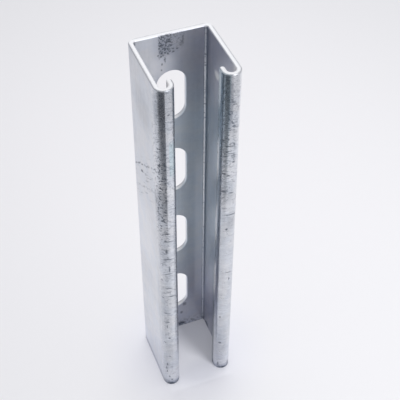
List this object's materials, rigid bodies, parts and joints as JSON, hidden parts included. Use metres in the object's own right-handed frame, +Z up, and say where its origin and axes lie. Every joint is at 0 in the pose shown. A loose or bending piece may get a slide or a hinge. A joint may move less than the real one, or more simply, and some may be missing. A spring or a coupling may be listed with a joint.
{
  "type": "strut channel",
  "caption": "Cut length of slotted strut channel: a square C-section rolled from steel strip, with hooked lips along the open side and obround slots in line down the web.",
  "frame": {"origin": "middle of the section's outline on the sawn foot", "axes": "+Z up along the length, +Y out of the back of the web, -Y out of the open side, +X across the web"},
  "size_m": [0.0412, 0.0412, 0.223],
  "materials": {
    "galvanised_steel": "galvanised, satin, scuffed"
  },
  "bodies": {
    "root": {"strut_channel": "galvanised_steel"}
  },
  "joints": []
}
